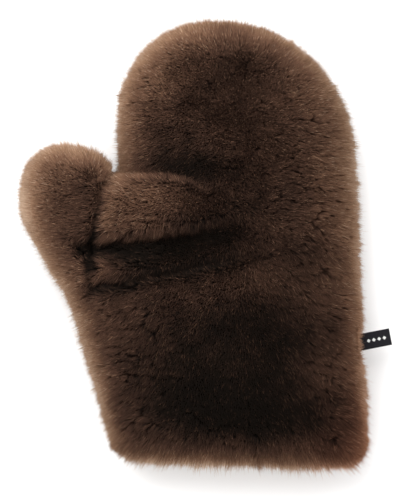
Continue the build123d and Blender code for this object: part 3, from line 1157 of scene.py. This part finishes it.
def panels(source, names, material, closed=True):
    # palm, back, thumb palm and thumb back of one shape
    seamPoint = Vector((0, 0, seamHeight))
    hand = halfOf(source, "handPart", thumbHinge, -seamNormal, closed)
    thumb = halfOf(source, "thumbPart", thumbHinge, seamNormal, closed)
    made = []
    for half, pair in ((hand, names[:2]), (thumb, names[2:])):
        for name, direction in zip(pair, (up, -up)):
            piece = halfOf(half, name, seamPoint, direction, closed)
            piece.data.materials.clear()
            piece.data.materials.append(material)
            made.append(piece)
        remove(half)
    remove(source)
    return made


def thicken(obj, thickness):
    # An open sheet made a closed one, its thickness on the inner side.
    shell = obj.modifiers.new("thickness", "SOLIDIFY")
    shell.thickness = thickness
    shell.offset = -1
    shell.use_even_offset = True
    return applied(obj)


def gridCut(obj, normal, pitch):
    # Cuts a mesh across at even steps, so that it has points to bend by.
    work = bmesh.new()
    work.from_mesh(obj.data)
    reaches = [Vector(v.co).dot(normal) for v in work.verts]
    steps = int((max(reaches) - min(reaches)) / pitch)
    for n in range(1, steps + 1):
        everything = work.verts[:] + work.edges[:] + work.faces[:]
        at = normal * (min(reaches) + n * pitch)
        bmesh.ops.bisect_plane(work, geom=everything, plane_co=at, plane_no=normal)
    work.to_mesh(obj.data)
    work.free()


def labelWedge():
    # The notch's solid, to cut the undercoat with.
    near = labelNotch["nearGap"]
    far = near + labelNotch["depth"] * labelNotch["spread"]
    verts = []
    deep = labelNotch["depth"]
    for side in (-1, 1):
        aside = labelHinge + labelSide * side * labelNotch["halfWidth"]
        for out, rise in ((0, -near), (deep, -far), (deep, far), (0, near)):
            verts.append(aside + labelRun * out + up * rise)
    faces = [(0, 1, 2, 3), (7, 6, 5, 4), (0, 4, 5, 1), (1, 5, 6, 2), (2, 6, 7, 3), (3, 7, 4, 0)]
    return facedOut(meshObject("labelWedge", verts, faces))


# the hem line's lower left and lower right corners, and the direction into the mitt from it
hemLeft, hemRight = (Vector((*toWorld(*mittShape["corners"][i]), seamHeight)) for i in (-1, 0))
hemRun = (hemRight - hemLeft).normalized()
intoMitt = up.cross(hemRun)


def settle(obj, pitch):
    # Cut into small faces, then given the cuff's soft lips.
    gridCut(obj, hemRun, pitch)
    gridCut(obj, intoMitt, pitch)
    setCoordinates(obj.data, softMouth(readVectors(obj.data.vertices, "co")))
    return obj


def place(piece, body, node, slot):
    if body == "thumb":
        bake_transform(piece)
    else:
        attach(piece, body)
    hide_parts(node)


def bodyOf(region):
    return "thumb" if region.startswith("thumb") else "mitt"


print("undercoat panels")
handSizes = (hideShape[name] for name in ("inset", "height", "edgeRound", "pastHem"))
handSpace = pillowMesh("handSpace", *handSizes)
settle(handSpace, hideShape["pitch"])
cutBy(wholeCoat, handSpace)
wedge = labelWedge()
cutBy(wholeCoat, wedge)
remove(wedge)
nodeStems = {"palm": "palm", "back": "back", "thumbPalm": "thumb_palm", "thumbBack": "thumb_back"}
pileNodes = {region: stem + "_pile" for region, stem in nodeStems.items()}
coatPanels = panels(wholeCoat, [region + "Undercoat" for region in pileNodes], coatCloth)
for piece, (region, node) in zip(coatPanels, pileNodes.items()):
    describePile(piece)
    place(piece, bodyOf(region), node, "pile")
for region, pieces in pilePieces.items():
    for piece in pieces:
        place(piece, bodyOf(region), pileNodes[region], "pile")

print("hides")
hideNodes = {region: stem + "_hide" for region, stem in nodeStems.items()}
hideEnd = hemLeft + intoMitt * hideShape["hemSetback"] * millimetre
hideBag = halfOf(handSpace, "hideBag", hideEnd, intoMitt, closed=False)
remove(handSpace)
hidePanels = panels(hideBag, [region + "Hide" for region in hideNodes], hideCloth, closed=False)
for piece, (region, node) in zip(hidePanels, hideNodes.items()):
    area = sum(face.area for face in piece.data.polygons)
    print("  hide", region, "cloth area", round(area, 5))
    thicken(piece, hideShape["thickness"] * millimetre)
    place(piece, bodyOf(region), node, "hide")


# in mm, but for the pitch, the flat size and the stitches' spans and sizes, which are in m
cuffTape = {"start": 7.6, "width": 15, "thickness": 0.8, "gap": 0.05, "pitch": 0.005, "flat": (0.015, 0.272)}
cuffStitch = {
    "rows": (2.6, 12.4), "count": 15, "span": 0.104, "aside": 0.0005, "steps": 26,
    "length": 0.0042, "radius": 0.0004, "grain": {"Segments": 8, "Rings": 7, "Radius": 1},
}


def tapeRing():
    clear = hideShape["thickness"] + cuffTape["gap"]
    ring = pillowMesh(
        "tapeSource", hideShape["inset"] + clear, hideShape["height"] - 2 * clear,
        hideShape["edgeRound"] - clear, hideShape["pastHem"],
    )
    low = hemLeft + intoMitt * cuffTape["start"] * millimetre
    high = low + intoMitt * cuffTape["width"] * millimetre
    upper = halfOf(ring, "tapeUpper", low, intoMitt, closed=False)
    band = halfOf(upper, "cuffTape", high, -intoMitt, closed=False)
    for spare in (ring, upper):
        remove(spare)
    settle(band, cuffTape["pitch"])
    band.data.materials.append(tapeCloth)
    return thicken(band, cuffTape["thickness"] * millimetre)


def stitchTree():
    # Stitches at even steps along each row, each a slim rounded grain.
    inputs = {"Count": "Int", "Length": "Float", "Radius": "Float", "Thread": "Material"}
    tree, given = geometryTree("stitchRows", inputs)
    curve = wired(tree, "GeometryNodeMeshToCurve", {"Mesh": given["Geometry"]})
    spots = addNode(tree, "GeometryNodeCurveToPoints", mode="COUNT")
    feed(tree, spots.inputs["Curve"], curve)
    feed(tree, spots.inputs["Count"], given["Count"])
    along = {"Vector": spots.outputs["Tangent"]}
    half = calc(tree, "MULTIPLY", given["Length"], 0.5)
    grains = wired(tree, "GeometryNodeInstanceOnPoints", {
        "Points": spots.outputs["Points"],
        "Instance": wired(tree, "GeometryNodeMeshUVSphere", cuffStitch["grain"], "Mesh"),
        "Rotation": wired(tree, "FunctionNodeAlignRotationToVector", along, axis="Z"),
        "Scale": joined(tree, given["Radius"], given["Radius"], half),
    })
    dressed(tree, wired(tree, "GeometryNodeRealizeInstances", {0: grains}), given["Thread"])
    return tree


def tapeStitches():
    # Two rows on the palm side and two on the back side, half sunk in the tape.
    middle = (hemLeft + hemRight) / 2 + hemRun * cuffStitch["aside"]
    layers = hideShape["thickness"] + cuffTape["gap"] + cuffTape["thickness"]
    inner = (hideShape["height"] / 2 - layers) * millimetre
    steps = cuffStitch["steps"]
    verts, edges = [], []
    for side in (-1, 1):
        for row in cuffStitch["rows"]:
            at = middle + intoMitt * (cuffTape["start"] + row) * millimetre + up * side * inner
            for n in range(steps + 1):
                verts.append(at + hemRun * (n / steps - 0.5) * cuffStitch["span"])
                if n:
                    edges.append((len(verts) - 2, len(verts) - 1))
    rows = meshObject("cuffStitches", [], [])
    rows.data.from_pydata(softMouth(np.array(verts)).tolist(), edges, [])
    modifier = rows.modifiers.new("stitches", "NODES")
    modifier.node_group = stitchTree()
    setInputs(
        modifier, Count=cuffStitch["count"], Length=cuffStitch["length"],
        Radius=cuffStitch["radius"], Thread=threadCloth,
    )
    return applied(rows)


print("cuff tape and its stitches")
tape = tapeRing()
place(tape, "mitt", "cuff_tape", "tape")
place(tapeStitches(), "mitt", "cuff_stitches", "thread")


# The label's sizes in mm, its weave in m and its flat size in m. The motif is a row of small woven diamonds.
sideLabel = {
    "start": 0.5, "length": 30, "width": 10, "leaf": 0.4, "gap": 0.4, "bow": 0.35, "cup": 0.12,
    "steps": 26, "across": 8, "turnSteps": 6, "weavePitch": 0.00022, "flat": (0.010, 0.0605),
    "motifStart": 15.5, "motifPitch": 3.2, "motifCount": 4, "motifSize": 1.15, "motifRise": 0.6,
    "under": (0.007, 0.007, 0.009, 1), "over": (0.018, 0.018, 0.021, 1), "motif": (0.62, 0.62, 0.6, 1),
    "bump": (0.5, 0.0001),
}


def labelPath():
    # Centre line of the folded strip in its own frame: out from the seam and height, in mm.
    rise = sideLabel["gap"] / 2 + sideLabel["leaf"] / 2
    first = sideLabel["start"]
    last = sideLabel["start"] + sideLabel["length"] - rise - sideLabel["leaf"] / 2
    steps = sideLabel["steps"]
    out = [first + (last - first) * n / steps for n in range(steps + 1)]
    turns = sideLabel["turnSteps"]
    angles = [math.pi * n / turns for n in range(1, turns)]
    turn = [(last + rise * math.sin(angle), rise * math.cos(angle)) for angle in angles]
    return [(x, rise) for x in out] + turn + [(x, -rise) for x in reversed(out)]


def foldedLabel():
    path = labelPath()
    columns = sideLabel["across"]
    verts, faces = [], []
    for x, z in path:
        share = x / sideLabel["length"]
        bow = sideLabel["bow"] * math.sin(math.pi * share) * share
        for n in range(columns + 1):
            y = sideLabel["width"] * (n / columns - 0.5)
            cup = sideLabel["cup"] * (2 * y / sideLabel["width"]) ** 2 * share
            spot = labelRun * x + labelSide * y + up * (z + bow + cup)
            verts.append(labelHinge + spot * millimetre)
    for row in range(len(path) - 1):
        for n in range(columns):
            a, b = row * (columns + 1) + n, (row + 1) * (columns + 1) + n
            faces.append((a, b, b + 1, a + 1))
    label = facedOut(meshObject("sideLabel", verts, faces))
    shell = label.modifiers.new("leaf", "SOLIDIFY")
    shell.thickness = sideLabel["leaf"] * millimetre
    shell.offset = 0
    applied(label)
    for face in label.data.polygons:
        face.use_smooth = True
    return label


def labelMaterial():
    material, tree, shader = newMaterial("wovenLabel", 0.85, specular=0.08)
    # a pattern that runs out along the label from the seam
    fromSeamOut = {
        "Vector": objectPlace(tree), "Location": labelHinge,
        "Rotation": (0, 0, math.atan2(labelRun.y, labelRun.x)),
    }
    cloth = wired(tree, "ShaderNodeMapping", fromSeamOut, vector_type="TEXTURE")
    at = split(tree, cloth)
    weave = useGroup(tree, wovenThreads, Vector=cloth, Pitch=sideLabel["weavePitch"], Slant=0.0)
    ground = mixColour(tree, weave["Over"], sideLabel["under"], sideLabel["over"])
    pitch = sideLabel["motifPitch"] * millimetre
    along = calc(tree, "SUBTRACT", at["X"], sideLabel["motifStart"] * millimetre)
    fromCell = calc(tree, "SUBTRACT", calc(tree, "PINGPONG", along, pitch), pitch / 2)
    reach = calc(tree, "ADD", calc(tree, "ABSOLUTE", fromCell), calc(tree, "ABSOLUTE", at["Y"]))
    inside = calc(tree, "LESS_THAN", reach, sideLabel["motifSize"] * millimetre)
    begins = calc(tree, "GREATER_THAN", along, 0.0)
    ends = calc(tree, "LESS_THAN", along, pitch * sideLabel["motifCount"])
    mask = calc(tree, "MULTIPLY", inside, calc(tree, "MULTIPLY", begins, ends))
    feed(tree, shader.inputs["Base Color"], mixColour(tree, mask, ground, sideLabel["motif"]))
    height = calc(tree, "MULTIPLY_ADD", mask, sideLabel["motifRise"], weave["Height"])
    bumped(tree, shader, height, *sideLabel["bump"])
    return material


print("label")
label = foldedLabel()
label.data.materials.append(labelMaterial())
place(label, "label", "side_label", "label")

print("seam stitches of the frame")
for node in ("hand_seam_stitches", "thumb_seam_stitches", "thumb_root_stitches"):
    for socket in bpy.data.objects[node].material_slots:
        socket.material = threadCloth

print("floor, light and camera")
studio = {
    "floorColour": (0.93, 0.93, 0.93, 1), "worldStrength": 1.2,
    "keyPlace": (-0.55, 1.15, 1.7), "keySize": 1.7, "keyPower": 40,
    "cameraHeight": 1.6, "frameHeight": 0.300, "cameraShift": (-0.003, -0.0006), "floorReach": 4,
}
reach = studio["floorReach"]
floorCorners = [(-reach, -reach, 0), (reach, -reach, 0), (reach, reach, 0), (-reach, reach, 0)]
floor = meshObject("floor", floorCorners, [(0, 1, 2, 3)])
floor.location.z = cadLow.z
floorMaterial, floorTree, floorShader = newMaterial("paleFloor", 0.9)
floorShader.inputs["Base Color"].default_value = studio["floorColour"]
floor.data.materials.append(floorMaterial)
floor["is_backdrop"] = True

world = bpy.data.worlds.new("studio")
world.use_nodes = True
background = world.node_tree.nodes["Background"]
background.inputs["Color"].default_value = (1, 1, 1, 1)
background.inputs["Strength"].default_value = studio["worldStrength"]
bpy.context.scene.world = world

light = bpy.data.lights.new("key", "AREA")
light.size = studio["keySize"]
light.energy = studio["keyPower"]
lamp = bpy.data.objects.new("key", light)
bpy.context.collection.objects.link(lamp)
lamp.location = studio["keyPlace"]
aim = Vector((middleX, middleY, seamHeight)) - Vector(studio["keyPlace"])
lamp.rotation_euler = aim.to_track_quat("-Z", "Y").to_euler()

camera = bpy.data.objects.new("camera", bpy.data.cameras.new("camera"))
bpy.context.collection.objects.link(camera)
shiftX, shiftY = studio["cameraShift"]
camera.location = (middleX + shiftX, middleY + shiftY, studio["cameraHeight"])
camera.data.lens = camera.data.sensor_width * (studio["cameraHeight"] - seamHeight) / studio["frameHeight"]
camera.data.clip_start = 0.05
camera.data.dof.use_dof = False
bpy.context.scene.camera = camera
bpy.context.scene.view_settings.view_transform = "Standard"
